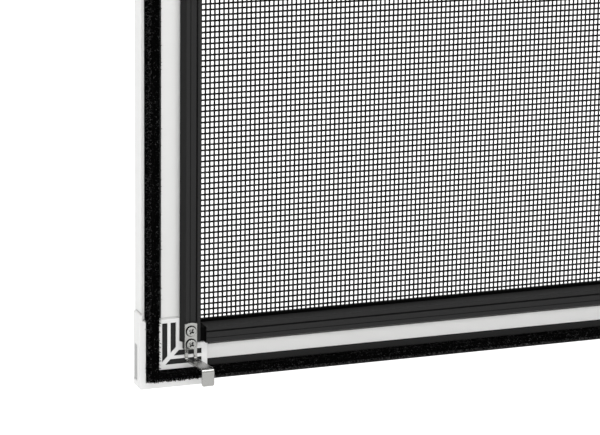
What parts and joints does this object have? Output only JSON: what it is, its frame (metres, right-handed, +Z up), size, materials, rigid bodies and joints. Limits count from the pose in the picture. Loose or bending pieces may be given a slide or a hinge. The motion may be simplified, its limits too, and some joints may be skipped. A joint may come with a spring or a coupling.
{
  "type": "window screen frame",
  "caption": "Framed insect screen for a window: extruded rails, ribbed corner blocks, pile brush seal, clamped mesh and bent hanging hooks.",
  "frame": {"origin": "under the middle of the whole part's box, level with the lower edge of the bottom corner blocks", "axes": "+Z up along the uprights, +X along the bottom rail, -Y towards the window, where the hooks and brush face"},
  "size_m": [0.5, 0.0356, 0.6],
  "materials": {
    "grey_paint": "matt powder coat",
    "white_plastic": "satin moulded",
    "pale_strip": "satin",
    "black_pile": "woven pile",
    "black_rubber": "matt",
    "black_mesh": "coated thread",
    "stainless_steel": "brushed"
  },
  "bodies": {
    "root": {"stile_left": "grey_paint", "stile_right": "grey_paint", "rail_bottom": "grey_paint", "rail_top": "grey_paint", "mesh_bar_left": "grey_paint", "mesh_bar_right": "grey_paint", "mesh_bar_bottom": "grey_paint", "mesh_bar_top": "grey_paint", "corner_key_bottom_left": "grey_paint", "corner_key_bottom_right": "grey_paint", "corner_key_top_left": "grey_paint", "corner_key_top_right": "grey_paint", "corner_bottom_left": "white_plastic", "corner_bottom_right": "white_plastic", "corner_top_left": "white_plastic", "corner_top_right": "white_plastic", "edge_strip_left": "white_plastic", "edge_strip_right": "white_plastic", "cover_left": "pale_strip", "cover_right": "pale_strip", "cover_bottom": "pale_strip", "cover_top": "pale_strip", "brush_left": "black_pile", "brush_right": "black_pile", "brush_bottom": "black_pile", "brush_top": "black_pile", "gasket_left": "black_rubber", "gasket_right": "black_rubber", "gasket_bottom": "black_rubber", "gasket_top": "black_rubber", "insect_mesh": "black_mesh", "hook_bottom_left": "stainless_steel", "hook_bottom_right": "stainless_steel", "hook_top_left": "stainless_steel", "hook_top_right": "stainless_steel", "hook_screws": "stainless_steel"}
  },
  "joints": []
}
